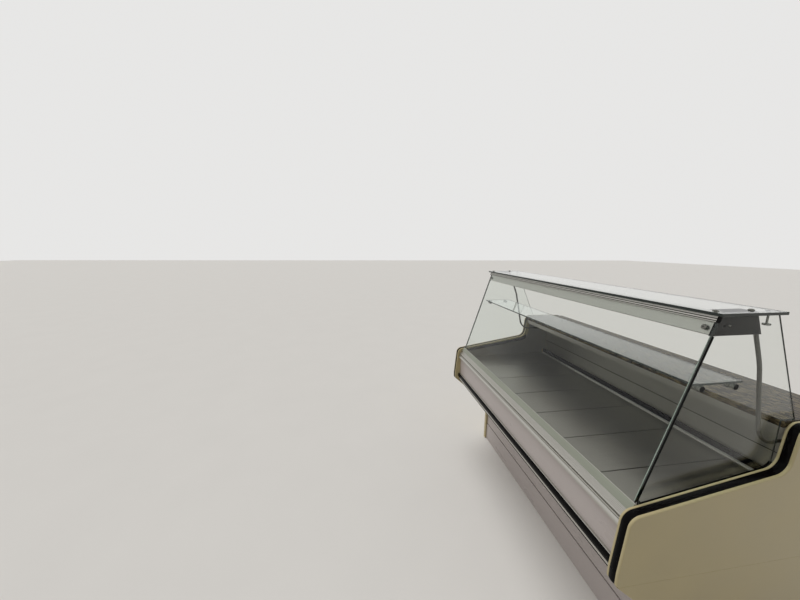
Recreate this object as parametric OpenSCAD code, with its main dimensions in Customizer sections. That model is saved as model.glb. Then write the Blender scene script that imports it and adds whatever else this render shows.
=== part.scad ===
/* [Overall] */
// Length over the two end panels
counter_l = 1400; // [1150:10:2500]
// Depth from the nose of the end panels to the rear of the worktop
counter_d = 792; // [740:2:1000]
// Height of the upper face of the pans
deck_h = 662; // [600:1:760]
// Height of the upper face of the worktop above the pans
worktop_rise = 273; // [260:1:320]
// Height of the upper face of the top glass above the worktop
canopy_rise = 325; // [280:1:400]

/* [End panels] */
// Thickness of a moulded end panel
end_t = 35; // [32:1:45]
// Distance of the nose, the foremost face of an end panel, below the pans
nose_drop = 122; // [100:1:140]
// Distance of the lower edge of the upper body below the pans
body_drop = 162; // [155:1:200]
// Width of the lip between the inner face and the black trim in the edge
lip_w = 7; // [5:1:9]
// Width of the black trim in the edge
trim_w = 20; // [14:1:22]

/* [Glass] */
// Thickness of the front, end and shelf glass
glass_t = 6; // [5:1:8]
// Thickness of the top glass
top_glass_t = 8; // [6:1:10]
// Width of the top glass
top_glass_w = 207; // [180:1:260]
// Lean of the front glass from upright
glass_tilt = 17.6; // [12:0.2:22]
// Width of the glass shelf
shelf_w = 161; // [120:1:200]
// Distance of the upper face of the glass shelf below the top glass
shelf_drop = 189; // [150:1:230]

/* [Deck] */
// Number of display pans
pan_count = 7; // [5:1:9]

/* [Body] */
// Distance of the kick plate behind the nose
kick_back = 269; // [240:1:320]
// Height of the kick plate
kick_h = 118; // [90:1:150]
// Width of the worktop, front to rear
worktop_w = 278; // [260:1:320]
// Thickness of the worktop
worktop_t = 20; // [18:1:40]

/* [Hidden] */
$fn = 40;
overrun = 5;
seat_gap = 0.3;
front_y = -counter_d / 2;
rear_y = counter_d / 2;
worktop_h = deck_h + worktop_rise;
worktop_under_h = worktop_h - worktop_t;
canopy_h = worktop_h + canopy_rise;
body_bottom_h = deck_h - body_drop;

// Front panel, bumper and the profile that holds the front glass
front_panel_back = 37;
front_panel_t = 16;
front_panel_top_drop = 8;
front_panel_top_h = deck_h - front_panel_top_drop;
bumper_h = 52;
bumper_proud = 8;
bumper_back = front_panel_back - bumper_proud;
bumper_drop = 172;
bumper_bottom_h = deck_h - bumper_drop;
strip_proud = 6;
strip_groove = 3;
strip_h = 28;
strip_rise = 21;
bead_h = 8;
profile_w = 60;
profile_h = 72;
profile_lead_share = 0.24;
profile_back = front_panel_back - profile_lead_share * profile_w;
profile_outline_shares = [
    [profile_lead_share, 0], [0.06, 0], [0, 0.06], [0, 0.3], [0.06, 0.37], [0.18, 0.37],
    [0.18, 0.47], [0.55, 0.82], [0.55, 1], [1, 1], [1, 0]
];
profile_slot_share = 0.65;
glass_foot_drop = 6;
glass_slot = 16;
glass_foot_back = profile_back + profile_slot_share * profile_w;
glass_foot_h = front_panel_top_h + profile_h - glass_foot_drop;

// Worktop and its carrier
worktop_back = counter_d - worktop_w;
worktop_rail_t = 3;
worktop_rail_w = 40;
worktop_rail_drop = 28;
worktop_rail_inset = 12;

// End panel: its outline is walked from below the nose, up and over to the rear foot
trim_proud = 1.5;
trim_groove = 5;
nose_r = 40;
nose_low_rise = 4;
nose_low_r = 10;
front_corner_back = 16;
front_corner_drop = 10;
front_corner_r = 38;
rise_lead = 6;
rise_foot_drop = 137;
rise_foot_r = 42;
rise_lean = 13;
rise_top_r = 34;
rear_top_r = 26;
outline_tail = 60;
sweep_slope = 1.12;
panel_face_x = counter_l / 2;
inner_x = panel_face_x - end_t;
inner_l = 2 * inner_x;
nose_h = deck_h - nose_drop;
nose_low_h = body_bottom_h + nose_low_rise;
panel_walk = [
    [front_y + sweep_slope * outline_tail, nose_low_h - outline_tail, 0],
    [front_y, nose_low_h, nose_low_r],
    [front_y, nose_h, nose_r],
    [front_y + front_corner_back, front_panel_top_h + profile_h - front_corner_drop, front_corner_r],
    [front_y + worktop_back - rise_lead, worktop_h - rise_foot_drop, rise_foot_r],
    [front_y + worktop_back - rise_lead + rise_lean, worktop_h, rise_top_r],
    [rear_y, worktop_h, rear_top_r],
    [rear_y, nose_low_h - outline_tail, 0]
];

// Insulated well, pans and air duct
well_front_back = front_panel_back + front_panel_t;
well_wall = 28;
well_floor_t = 60;
well_rear_t = 55;
back_wall_t = 10;
rear_panel_t = 9;
rear_overhang = 40;
rear_back = counter_d - rear_overhang;
well_rear_back = rear_back - rear_panel_t;
back_wall_back = well_rear_back - well_rear_t - back_wall_t;
ledge_w = 16;
ledge_h = 14;
pan_t = 2;
pan_rim_h = 12;
pan_gap = 1.5;
pan_seat_h = deck_h - pan_rim_h;
pan_front_back = profile_back + profile_w + seat_gap;
duct_profile_w = 12;
duct_profile_h = 18;
duct_grille_w = 11;
duct_grille_h = 26;
duct_slot_w = 2.4;
duct_slot_pitch = 21;
duct_back = back_wall_back - duct_grille_w - duct_profile_w;
back_wall_seam_drop = 158;
back_wall_seam_step = 2;

// Lower sides, kick plate and lower front
side_base_t = 24;
side_base_lead = 9;
side_base_back = kick_back - side_base_lead;
side_sweep_drop = side_base_back / sweep_slope - nose_low_rise;
side_sweep_r = 60;
side_base_inner_x = panel_face_x - side_base_t;
lower_l = 2 * side_base_inner_x;
sheet_t = 3;
seam_w = 4;
lower_panel_t = 15;
panel_setback = 3;
base_tray_h = 40;
base_tray_t = 12;
kick_return = 30;

// Rear face
louvre_bottom_gap = 46;
louvre_top_gap = 150;
louvre_pitch = 26;
louvre_h = 8;
louvre_w = 300;
louvre_side = 250;
louvre_rows = floor((body_bottom_h - base_tray_h - louvre_bottom_gap - louvre_top_gap) / louvre_pitch);
control_w = 240;
control_h = 90;
control_proud = 22;
control_top_gap = 60;
control_side = 300;
dial_r = 17;
dial_t = 12;
switch_w = 22;
switch_h = 30;
switch_t = 5;
control_item_side = 55;

// Canopy
end_glass_gap = 6;
end_glass_sink = 18;
end_glass_x = inner_x - end_glass_gap - glass_t / 2;
glass_seat_w = 15;
glass_seat_drop = 12;
glass_seat_h = 13;
end_glass_inner_x = end_glass_x - glass_t / 2;
front_glass_x = end_glass_x + glass_t / 2;
top_glass_lip = 16;
top_glass_l = 2 * (front_glass_x + top_glass_lip);
canopy_under_h = canopy_h - top_glass_t;
glass_top_back = glass_foot_back + (canopy_under_h - glass_foot_h) * tan(glass_tilt);
glass_head_gap = 4;
glass_run = (canopy_under_h - glass_foot_h) / cos(glass_tilt) - glass_head_gap;
top_glass_back = glass_top_back - top_glass_lip;
top_glass_rear = top_glass_back + top_glass_w;
end_glass_foot_inset = 48;
beam_h = 50;
beam_w = 16;
beam_wall = 3;
beam_cap_h = 15;
beam_cap_t = 5;
beam_rib_h = 2;
beam_rib_d = 1.5;
beam_rib_shares = [0.28, 0.62];
bracket_w = 38;
bracket_t = 3;
bracket_drop = 56;
bracket_splay = 23;
bracket_rear_gap = 65;
bracket_back = glass_top_back + (glass_t + 2 * seat_gap + beam_w) / cos(glass_tilt);
bracket_top_l = top_glass_rear - bracket_rear_gap - bracket_back;
bracket_low_h = canopy_under_h - bracket_drop;
bracket_low_back = bracket_back - bracket_drop * tan(glass_tilt);
bracket_x = end_glass_inner_x - seat_gap - bracket_w;
bracket_web_x = bracket_x + bracket_w - bracket_t;
beam_l = 2 * bracket_web_x;
post_r = 5;
post_gap = 1;
post_x = bracket_web_x - post_r - post_gap;
post_top_inset = 3;
post_back = bracket_back + bracket_top_l + bracket_splay - post_top_inset;
post_foot_gap = 52;
post_bend_drop = 5;
post_bend_r = 68;
post_out_lean = 4;
post_bend_h = worktop_under_h - post_bend_drop;
post_lean = atan((worktop_back - post_foot_gap - post_back) / (bracket_low_h - post_bend_h));
bolt_head_r = 7;
bolt_head_t = 4;
bolt_shank_r = 3;
bolt_l = 11;
bracket_bolt_side = 9;
bracket_bolt_rear = 8;
beam_bolt_inset = 23;
beam_bolt_drop = 33;
clamp_inset = 18;
clamp_reach = 9;
clamp_rod_r = 2.5;
clamp_rod_l = 28;
clamp_flange_r = 6;
clamp_flange_t = 2;
clamp_foot_t = 6;
clamp_foot_r = clamp_reach - seat_gap;
clamp_x = end_glass_inner_x - clamp_reach;
shelf_h = canopy_under_h - shelf_drop;
shelf_clamp_r = 9;
shelf_clamp_reach = 26;
shelf_clamp_shares = [0.16, 0.84];
shelf_end_gap = 4;
shelf_front_gap = 22;
shelf_back = glass_foot_back + (shelf_h - glass_foot_h) * tan(glass_tilt) + glass_t + shelf_front_gap;
shelf_l = 2 * (end_glass_inner_x - shelf_end_gap);

// Outline helpers: a walk is a list of [y, z, corner radius], clockwise seen from +X
function unit(v) = v / norm(v);
function flat(v) = [v[0], v[1]];
function right_of(v) = [v[1], -v[0]];
function turn(a, b) = a[0] * b[1] - a[1] * b[0];

// The walk moved inwards by e, its corners following
function inset(walk, e) = [
    for (i = [0:len(walk) - 1])
        let (
            first = i == 0,
            last = i == len(walk) - 1,
            before = first ? unit(flat(walk[1]) - flat(walk[0])) : unit(flat(walk[i]) - flat(walk[i - 1])),
            after = last ? before : unit(flat(walk[i + 1]) - flat(walk[i])),
            n1 = right_of(before),
            n2 = right_of(after),
            p = flat(walk[i]) + e * (n1 + n2) / (1 + n1 * n2),
            r = turn(before, after) < 0 ? walk[i][2] - e : walk[i][2] + e
        )
        [p[0], p[1], walk[i][2] == 0 ? 0 : max(r, 1)]
];

// One corner of a walk as an arc
function corner(a, b, c, r, steps = 8) =
    let (
        u = unit(a - b),
        v = unit(c - b),
        half = acos(u * v) / 2,
        centre = b + unit(u + v) * r / sin(half),
        from = b + u * r / tan(half) - centre,
        sweep = (180 - 2 * half) * sign(turn(b - a, c - b))
    )
    [
        for (k = [0:steps])
            let (g = sweep * k / steps)
            centre + [from[0] * cos(g) - from[1] * sin(g), from[0] * sin(g) + from[1] * cos(g)]
    ];

function rounded(walk) = [
    for (i = [0:len(walk) - 1])
        each (
            walk[i][2] == 0
            ? [flat(walk[i])]
            : corner(flat(walk[i - 1]), flat(walk[i]), flat(walk[i + 1]), walk[i][2])
        )
];

// A plate standing across the counter from x0, its outline in the Y-Z plane
module plate_x(points, x0, t) {
    translate([x0, 0, 0]) rotate([90, 0, 90]) linear_extrude(height = t) polygon(points);
}

// A profile running along the counter, centred
module along(points, l) {
    plate_x(points, -l / 2, l);
}

module bar(back, w, z0, h, l) {
    translate([-l / 2, front_y + back, z0]) cube([l, w, h]);
}

module on_side(side) {
    if (side < 0) mirror([1, 0, 0]) children();
    else children();
}

module above_body_bottom() {
    intersection() {
        children();
        translate([0, front_y - overrun, body_bottom_h])
            cube([counter_l, counter_d + 2 * overrun, canopy_h]);
    }
}

// The band along the edge of the end panel, between two insets of its outline
module panel_band(from, to, x0, t) {
    difference() {
        plate_x(rounded(inset(panel_walk, from)), x0, t);
        plate_x(rounded(inset(panel_walk, to)), x0 - overrun, t + 2 * overrun);
    }
}

module end_panel(side) {
    color("#d9cdac") on_side(side) above_body_bottom() difference() {
        plate_x(rounded(inset(panel_walk, trim_proud)), inner_x, end_t);
        panel_band(-overrun, trim_proud + trim_groove, inner_x + lip_w, trim_w);
    }
}

module edge_trim(side) {
    color("#151213") on_side(side) above_body_bottom() panel_band(
        0, trim_proud + trim_groove - seat_gap, inner_x + lip_w + seat_gap, trim_w - 2 * seat_gap
    );
}

// A lower side, swept forwards to meet the tip of the end panel
module side_base(side) {
    tip = [front_y + sweep_slope * nose_low_rise, body_bottom_h];
    knee = [front_y + side_base_back, body_bottom_h - side_sweep_drop];
    foot = [front_y + side_base_back, 0];
    color("#d9cdac") on_side(side) plate_x(
        concat(
            [foot], corner(foot, knee, tip, side_sweep_r), [tip],
            [[front_y + rear_back, body_bottom_h], [front_y + rear_back, 0]]
        ),
        side_base_inner_x, side_base_t
    );
}

module kick_plate() {
    color("#d8d2d4") {
        bar(kick_back, sheet_t, 0, kick_h, lower_l);
        bar(kick_back, kick_return, kick_h - sheet_t, sheet_t, lower_l);
    }
}

module lower_front_panel() {
    color("#d8d2d4") bar(
        kick_back + panel_setback, lower_panel_t, kick_h + seam_w,
        body_bottom_h - kick_h - seam_w, lower_l
    );
}

module front_panel() {
    color("#e0dadb") bar(
        front_panel_back, front_panel_t, bumper_bottom_h,
        front_panel_top_h - bumper_bottom_h, inner_l
    );
}

module bumper_rail() {
    color("#c9cbcc") difference() {
        bar(bumper_back, front_panel_back - bumper_back, bumper_bottom_h, bumper_h, inner_l);
        bar(
            bumper_back - overrun, overrun + strip_groove, bumper_bottom_h + strip_rise,
            strip_h, inner_l + 2 * overrun
        );
    }
}

module bumper_strip() {
    color("#161415") {
        bar(
            bumper_back - strip_proud, strip_proud + strip_groove,
            bumper_bottom_h + strip_rise + seat_gap, strip_h - 2 * seat_gap, inner_l
        );
        bar(
            bumper_back - strip_groove, strip_groove, bumper_bottom_h, bead_h, inner_l
        );
    }
}

module on_glass() {
    translate([0, front_y + glass_foot_back, glass_foot_h]) rotate([-glass_tilt, 0, 0]) children();
}

module front_glass_slab(l, grow) {
    on_glass() translate([-l / 2, -grow, -glass_slot - grow])
        cube([l, glass_t + 2 * grow, glass_slot + glass_run + grow]);
}

module glass_profile() {
    color("#bfc0b8") difference() {
        along(
            [for (p = profile_outline_shares)
                [front_y + profile_back + p[0] * profile_w, front_panel_top_h + p[1] * profile_h]],
            inner_l
        );
        front_glass_slab(inner_l + 2 * overrun, seat_gap);
    }
}

module cold_well() {
    trough_back = well_front_back + well_wall;
    color("#b9bab9") {
        difference() {
            bar(
                well_front_back, well_rear_back - well_front_back, body_bottom_h,
                worktop_under_h - body_bottom_h, inner_l
            );
            bar(
                trough_back, back_wall_back + back_wall_t - trough_back,
                body_bottom_h + well_floor_t, worktop_h, inner_l + 2 * overrun
            );
            bar(
                well_front_back - overrun, back_wall_back + overrun - well_front_back,
                front_panel_top_h, worktop_h, inner_l + 2 * overrun
            );
        }
        bar(trough_back, ledge_w, pan_seat_h - ledge_h, ledge_h, inner_l);
    }
}

module back_wall() {
    foot_h = body_bottom_h + well_floor_t;
    seam_h = worktop_under_h - back_wall_seam_drop;
    color("#9a9c99") {
        bar(back_wall_back, back_wall_t, foot_h, seam_h - foot_h, inner_l);
        bar(
            back_wall_back + back_wall_seam_step, back_wall_t - back_wall_seam_step,
            seam_h, worktop_under_h - seam_h, inner_l
        );
        bar(
            duct_back - ledge_w, back_wall_back - duct_back + ledge_w,
            pan_seat_h - ledge_h, ledge_h, inner_l
        );
    }
}

module duct_profile() {
    color("#c4c6c7") bar(duct_back, duct_profile_w, pan_seat_h, duct_profile_h, inner_l);
}

module air_duct_grille() {
    slots = floor(inner_l / duct_slot_pitch) - 1;
    color("#141516") difference() {
        bar(duct_back + duct_profile_w, duct_grille_w, pan_seat_h, duct_grille_h + pan_rim_h, inner_l);
        for (i = [0:slots - 1])
            translate([
                (i - (slots - 1) / 2) * duct_slot_pitch - duct_slot_w / 2,
                front_y + duct_back + duct_profile_w - overrun, deck_h
            ]) cube([duct_slot_w, overrun + duct_grille_w / 2, duct_grille_h - duct_slot_w]);
    }
}

module display_pan(i) {
    pitch = inner_l / pan_count;
    pan_l = pitch - pan_gap;
    pan_d = duct_back - pan_front_back - seat_gap;
    x0 = (i - 1) * pitch - inner_l / 2 + pan_gap / 2;
    color("#8f918f") difference() {
        translate([x0, front_y + pan_front_back, pan_seat_h]) cube([pan_l, pan_d, pan_rim_h]);
        translate([x0 + pan_t, front_y + pan_front_back + pan_t, pan_seat_h - overrun])
            cube([pan_l - 2 * pan_t, pan_d - 2 * pan_t, overrun + pan_rim_h - pan_t]);
    }
}

module worktop() {
    color("#8a7c6b") bar(worktop_back, worktop_w, worktop_under_h, worktop_t, inner_l);
}

module worktop_rail() {
    rail_back = worktop_back + worktop_rail_inset;
    color("#7d7f7e") {
        bar(rail_back, worktop_rail_w, worktop_under_h - worktop_rail_t, worktop_rail_t, inner_l);
        bar(
            rail_back, worktop_rail_t, worktop_under_h - worktop_rail_drop,
            worktop_rail_drop - worktop_rail_t, inner_l
        );
    }
}

module rear_panel() {
    color("#d8d4d0") bar(
        well_rear_back, rear_panel_t, body_bottom_h, worktop_under_h - body_bottom_h, inner_l
    );
}

module rear_grille() {
    color("#cfcbc8") difference() {
        bar(rear_back - sheet_t, sheet_t, base_tray_h, body_bottom_h - base_tray_h, lower_l);
        for (s = [-1, 1], i = [0:louvre_rows - 1])
            translate([
                s * louvre_side - louvre_w / 2, front_y + rear_back - sheet_t - overrun,
                base_tray_h + louvre_bottom_gap + louvre_pitch * i
            ]) cube([louvre_w, sheet_t + 2 * overrun, louvre_h]);
    }
}

module base_tray() {
    color("#a9abac") bar(
        kick_back + sheet_t, rear_back - kick_back - sheet_t, base_tray_h - base_tray_t,
        base_tray_t, lower_l
    );
}

module control_box() {
    z1 = worktop_under_h - control_top_gap;
    color("#3a3b3d") {
        translate([control_side - control_w / 2, front_y + rear_back, z1 - control_h])
            cube([control_w, control_proud, control_h]);
        translate([control_side - control_item_side, front_y + rear_back + control_proud, z1 - control_h / 2])
            rotate([-90, 0, 0]) cylinder(r = dial_r, h = dial_t);
        translate([
            control_side + control_item_side - switch_w / 2, front_y + rear_back + control_proud,
            z1 - control_h / 2 - switch_h / 2
        ]) cube([switch_w, switch_t, switch_h]);
    }
}

module front_glass() {
    color("#b9d2cb", 0.35) difference() {
        front_glass_slab(2 * front_glass_x, 0);
        bolt_holes();
    }
}

// Outline of an end glass, before its lower edge is cut to its seat and the worktop
end_glass_outline =
    let (
        face = glass_foot_back + (glass_t + seat_gap) / cos(glass_tilt),
        lean = tan(glass_tilt),
        z1 = canopy_under_h - seat_gap,
        rear_foot = worktop_back + end_glass_foot_inset
    )
    [
        [front_y + face + (nose_h - glass_foot_h) * lean, nose_h],
        [front_y + face + (z1 - glass_foot_h) * lean, z1],
        [front_y + top_glass_rear, z1],
        [front_y + rear_foot, worktop_h],
        [front_y + rear_foot, nose_h]
    ];

module end_glass(side) {
    color("#b9d2cb", 0.35) on_side(side) difference() {
        plate_x(end_glass_outline, end_glass_inner_x, glass_t);
        plate_x(rounded(inset(panel_walk, end_glass_sink)), inner_x - glass_seat_w, glass_seat_w);
        bar(0, profile_back + profile_w + seat_gap, 0, front_panel_top_h + profile_h, counter_l);
        bar(worktop_back - seat_gap, counter_d, 0, worktop_h + seat_gap, counter_l);
    }
}

// A grooved strip along the inner face of the end panel, for the foot of the end glass
module glass_seat(side) {
    z1 = front_panel_top_h + profile_h;
    color("#b4b6b2") on_side(side) above_body_bottom() difference() {
        panel_band(
            glass_seat_drop, glass_seat_drop + glass_seat_h, inner_x - glass_seat_w, glass_seat_w
        );
        panel_band(
            glass_seat_drop - overrun, end_glass_sink + seat_gap,
            end_glass_inner_x - seat_gap, glass_t + 2 * seat_gap
        );
        bar(-overrun, overrun + profile_back + profile_w + seat_gap, 0, z1, counter_l);
        bar(worktop_back - seat_gap, counter_d, 0, canopy_h, counter_l);
    }
}

module top_glass() {
    color("#9fc0b6", 0.35) difference() {
        translate([-top_glass_l / 2, front_y + top_glass_back, canopy_under_h])
            cube([top_glass_l, top_glass_w, top_glass_t]);
        bolt_holes();
    }
}

module shelf_glass() {
    color("#b9d2cb", 0.35) translate([-shelf_l / 2, front_y + shelf_back, shelf_h - glass_t])
        cube([shelf_l, shelf_w, glass_t]);
}

// A channel behind the front glass, with a cap hooked over the glass's upper edge
module canopy_beam() {
    color("#c7c7bd") intersection() {
        on_glass() translate([0, 0, glass_run]) difference() {
            union() {
                translate([-beam_l / 2, glass_t + seat_gap, -beam_h])
                    cube([beam_l, beam_w, beam_h + beam_cap_h]);
                translate([-front_glass_x, -beam_cap_t, -beam_cap_h])
                    cube([2 * front_glass_x, beam_cap_t + glass_t, 2 * beam_cap_h]);
                translate([-beam_l / 2, 0, seat_gap])
                    cube([beam_l, glass_t + beam_w, beam_cap_h]);
            }
            translate([-front_glass_x - overrun, -seat_gap, -beam_cap_h - overrun])
                cube([2 * (front_glass_x + overrun), glass_t + 2 * seat_gap, beam_cap_h + overrun + seat_gap]);
            translate([-beam_l / 2 - overrun, glass_t + seat_gap + beam_wall, beam_wall - beam_h])
                cube([beam_l + 2 * overrun, beam_w - 2 * beam_wall, beam_h - 3 * beam_wall]);
            for (z = beam_rib_shares * beam_cap_h)
                translate([-front_glass_x - overrun, -beam_cap_t - overrun, -z])
                    cube([2 * (front_glass_x + overrun), beam_rib_d + overrun, beam_rib_h]);
        }
        difference() {
            translate([-counter_l / 2, front_y, 0]) cube([counter_l, counter_d, canopy_under_h]);
            bolt_holes();
        }
    }
}

// A channel open towards the middle of the counter. Its web reaches forward over the end of the beam
module canopy_bracket(side) {
    foot_back = front_y + bracket_low_back;
    outline = [
        [foot_back, bracket_low_h],
        [front_y + bracket_back, canopy_under_h],
        [front_y + bracket_back + bracket_top_l, canopy_under_h],
        [front_y + bracket_back + bracket_top_l + bracket_splay, bracket_low_h]
    ];
    color("#3f403f") on_side(side) difference() {
        union() {
            plate_x(outline, bracket_x, bracket_w);
            intersection() {
                on_glass() translate([bracket_web_x, glass_t + seat_gap, glass_run - canopy_rise])
                    cube([bracket_t, beam_w + beam_cap_t, 2 * canopy_rise]);
                translate([0, front_y, bracket_low_h]) cube([counter_l, counter_d, bracket_drop]);
            }
        }
        translate([bracket_x - overrun, front_y, bracket_low_h + bracket_t])
            cube([bracket_w + overrun - bracket_t, counter_d, bracket_drop - 2 * bracket_t]);
        bolt_holes();
    }
}

// A tube down from the bracket, bent to run rearwards under the worktop
module canopy_post(side) {
    run = (bracket_low_h - post_bend_h) / cos(post_lean);
    bend = 90 - post_lean - post_out_lean;
    color("#7c7c78") on_side(side) intersection() {
        translate([post_x, front_y + post_back, bracket_low_h]) rotate([post_lean, 0, 0]) {
            translate([0, 0, -run]) cylinder(r = post_r, h = run + bracket_t);
            translate([0, post_bend_r, -run]) {
                rotate([90, 0, 90]) rotate([0, 0, 180]) tube_bend(bend);
                translate(-post_bend_r * [0, cos(bend), sin(bend)]) rotate([180 + bend, 0, 0])
                    cylinder(r = post_r, h = counter_d);
            }
        }
        translate([0, front_y, 0]) cube([counter_l, back_wall_back, bracket_low_h]);
    }
}

module tube_bend(angle) {
    rotate_extrude(angle = angle) translate([post_bend_r, 0]) circle(r = post_r);
}

module bolt() {
    cylinder(r = bolt_head_r, h = bolt_head_t);
    translate([0, 0, -bolt_l]) cylinder(r = bolt_shank_r, h = bolt_l);
}

// One bolt through the top glass into the beam's cap, one into the bracket near its rear
module at_bracket_bolts(side) {
    x = bracket_x + bracket_w - bracket_bolt_side;
    for (back = [glass_top_back + beam_cap_t, bracket_back + bracket_top_l - bracket_bolt_rear])
        translate([side * x, front_y + back, canopy_h]) children();
}

module at_clamp(side) {
    translate([side * clamp_x, front_y + top_glass_rear - clamp_inset, canopy_under_h]) children();
}

module at_beam_bolts(side) {
    on_glass() translate([side * (front_glass_x - beam_bolt_inset), 0, glass_run - beam_bolt_drop])
        rotate([90, 0, 0]) children();
}

module canopy_bolts(side) {
    color("#8d8f90") {
        at_beam_bolts(side) bolt();
        at_bracket_bolts(side) bolt();
    }
}

module bolt_holes() {
    for (side = [-1, 1]) {
        at_beam_bolts(side) hole();
        at_bracket_bolts(side) hole();
    }
}

module hole() {
    translate([0, 0, -bolt_l - overrun]) cylinder(r = bolt_shank_r + seat_gap, h = bolt_l + 2 * overrun);
}

// A rod on a flange bonded under the top glass, with a round foot that bears on the end glass
module corner_clamp(side) {
    color("#8d8f90") at_clamp(side) {
        translate([0, 0, -clamp_flange_t]) cylinder(r = clamp_flange_r, h = clamp_flange_t);
        translate([0, 0, -clamp_rod_l]) cylinder(r = clamp_rod_r, h = clamp_rod_l);
        translate([0, 0, -clamp_rod_l - clamp_foot_t]) cylinder(r = clamp_foot_r, h = clamp_foot_t);
    }
}

module shelf_clamps(side) {
    color("#8d8f90") on_side(side) for (s = shelf_clamp_shares)
        translate([end_glass_inner_x - shelf_clamp_reach, front_y + shelf_back + s * shelf_w,
            shelf_h - glass_t - shelf_clamp_r])
            rotate([0, 90, 0]) cylinder(r = shelf_clamp_r, h = shelf_clamp_reach);
}

end_panel(-1);  // end_panel_left
end_panel(1);  // end_panel_right
edge_trim(-1);  // edge_trim_left
edge_trim(1);  // edge_trim_right
side_base(-1);  // side_base_left
side_base(1);  // side_base_right
kick_plate();
lower_front_panel();
front_panel();
bumper_rail();
bumper_strip();
glass_profile();
cold_well();
back_wall();
air_duct_grille();
duct_profile();
for (i = [1:pan_count])
    display_pan(i);
worktop();
worktop_rail();
rear_panel();
rear_grille();
base_tray();
control_box();
front_glass();
end_glass(-1);  // end_glass_left
end_glass(1);  // end_glass_right
glass_seat(-1);  // glass_seat_left
glass_seat(1);  // glass_seat_right
top_glass();
shelf_glass();
canopy_beam();
canopy_bracket(-1);  // canopy_bracket_left
canopy_bracket(1);  // canopy_bracket_right
canopy_post(-1);  // canopy_post_left
canopy_post(1);  // canopy_post_right
canopy_bolts(-1);  // canopy_bolts_left
canopy_bolts(1);  // canopy_bolts_right
corner_clamp(-1);  // corner_clamp_left
corner_clamp(1);  // corner_clamp_right
shelf_clamps(-1);  // shelf_clamps_left
shelf_clamps(1);  // shelf_clamps_right
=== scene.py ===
import math

import bmesh
import bpy
from bpy.props import FloatProperty, FloatVectorProperty, IntProperty, PointerProperty
from mathutils import Matrix, Vector


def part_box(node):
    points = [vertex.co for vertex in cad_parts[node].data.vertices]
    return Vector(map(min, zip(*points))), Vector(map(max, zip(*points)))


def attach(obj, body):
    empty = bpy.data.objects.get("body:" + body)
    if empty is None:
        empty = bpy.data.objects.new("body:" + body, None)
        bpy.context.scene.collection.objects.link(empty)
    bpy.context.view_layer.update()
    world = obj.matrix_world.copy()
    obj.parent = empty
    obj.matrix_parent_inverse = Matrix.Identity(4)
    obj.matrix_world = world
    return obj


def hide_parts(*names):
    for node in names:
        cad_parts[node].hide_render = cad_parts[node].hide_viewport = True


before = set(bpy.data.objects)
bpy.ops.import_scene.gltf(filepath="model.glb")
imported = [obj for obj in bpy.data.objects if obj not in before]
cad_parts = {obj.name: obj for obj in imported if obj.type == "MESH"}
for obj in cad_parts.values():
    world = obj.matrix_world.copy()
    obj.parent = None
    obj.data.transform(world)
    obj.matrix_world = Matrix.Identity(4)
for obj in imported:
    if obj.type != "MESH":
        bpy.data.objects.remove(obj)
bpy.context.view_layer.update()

bl_info = {
    "name": "Serve-over display counter",
    "version": (1, 0, 0),
    "blender": (4, 5, 0),
    "location": "View3D > Sidebar > Counter",
    "description": "Finishes the refrigerated serve-over counter on its packed frame",
    "category": "Object",
}

MM = 0.001

# Outline of an end panel in the Y-Z plane, in mm, walked from below the nose, up
# and over to the rear foot: y, z and the radius of the corner.
PANEL_WALK = [
    (-328.8, 444.0, 0.0),
    (-396.0, 504.0, 10.0),
    (-396.0, 540.0, 40.0),
    (-380.0, 716.0, 38.0),
    (112.0, 798.0, 42.0),
    (125.0, 935.0, 34.0),
    (396.0, 935.0, 26.0),
    (396.0, 444.0, 0.0),
]
BODY_BOTTOM = 0.5
PANEL_SET_IN = 1.5
PANEL_INNER = 665.0

# The front glass leans back by this angle about its foot line, which lies at this y and z.
GLASS_TILT = math.radians(17.6)
GLASS_FOOT = (-334.4, 720.0)
GLASS_RUN = 554.13
GLASS_T = 6.0
TOP_UNDER = 1252.0


def linear(code):
    """An sRGB hex colour as the linear values that shaders take."""
    values = [int(code[i : i + 2], 16) / 255 for i in (1, 3, 5)]
    return [v / 12.92 if v <= 0.04045 else ((v + 0.055) / 1.055) ** 2.4 for v in values]


def colour(name, description, code):
    return FloatVectorProperty(
        name=name, description=description, subtype="COLOR", size=3, min=0.0, max=1.0, default=linear(code)
    )


def length(name, description, millimetres):
    return FloatProperty(
        name=name, description=description, default=millimetres * MM, min=0.0, soft_max=0.1, unit="LENGTH"
    )


class CounterSizes(bpy.types.PropertyGroup):
    outer_lip_r: length("Outer lip", "Radius of an end panel's outer lip", 4.0)
    inner_lip_r: length("Inner lip", "Radius of an end panel's inner lip", 2.5)
    trim_crown: length("Trim crown", "Rise of the black insert across its width", 1.5)
    sheet_edge: length("Sheet edge", "Radius of the folds of the coated sheets", 1.2)
    pan_edge: length("Pan edge", "Radius of the pans' pressed edges", 0.8)
    pan_joint: length("Pan joint", "How much wider the joint between two pans is than in the frame", 2.0)
    stone_edge: length("Stone edge", "Width of the worktop's polished arris", 2.5)
    glass_edge: length("Glass edge", "Width of the ground arris of the panes", 0.7)
    rib_depth: length("Rib depth", "Depth of the grooves in the glass profile", 1.7)
    rib_count: IntProperty(name="Ribs", description="Ribs on the slope of the glass profile", default=5, min=2, max=10)
    hood_depth: length("Louvre hood", "How far a louvre's hood stands out", 7.0)


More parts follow.
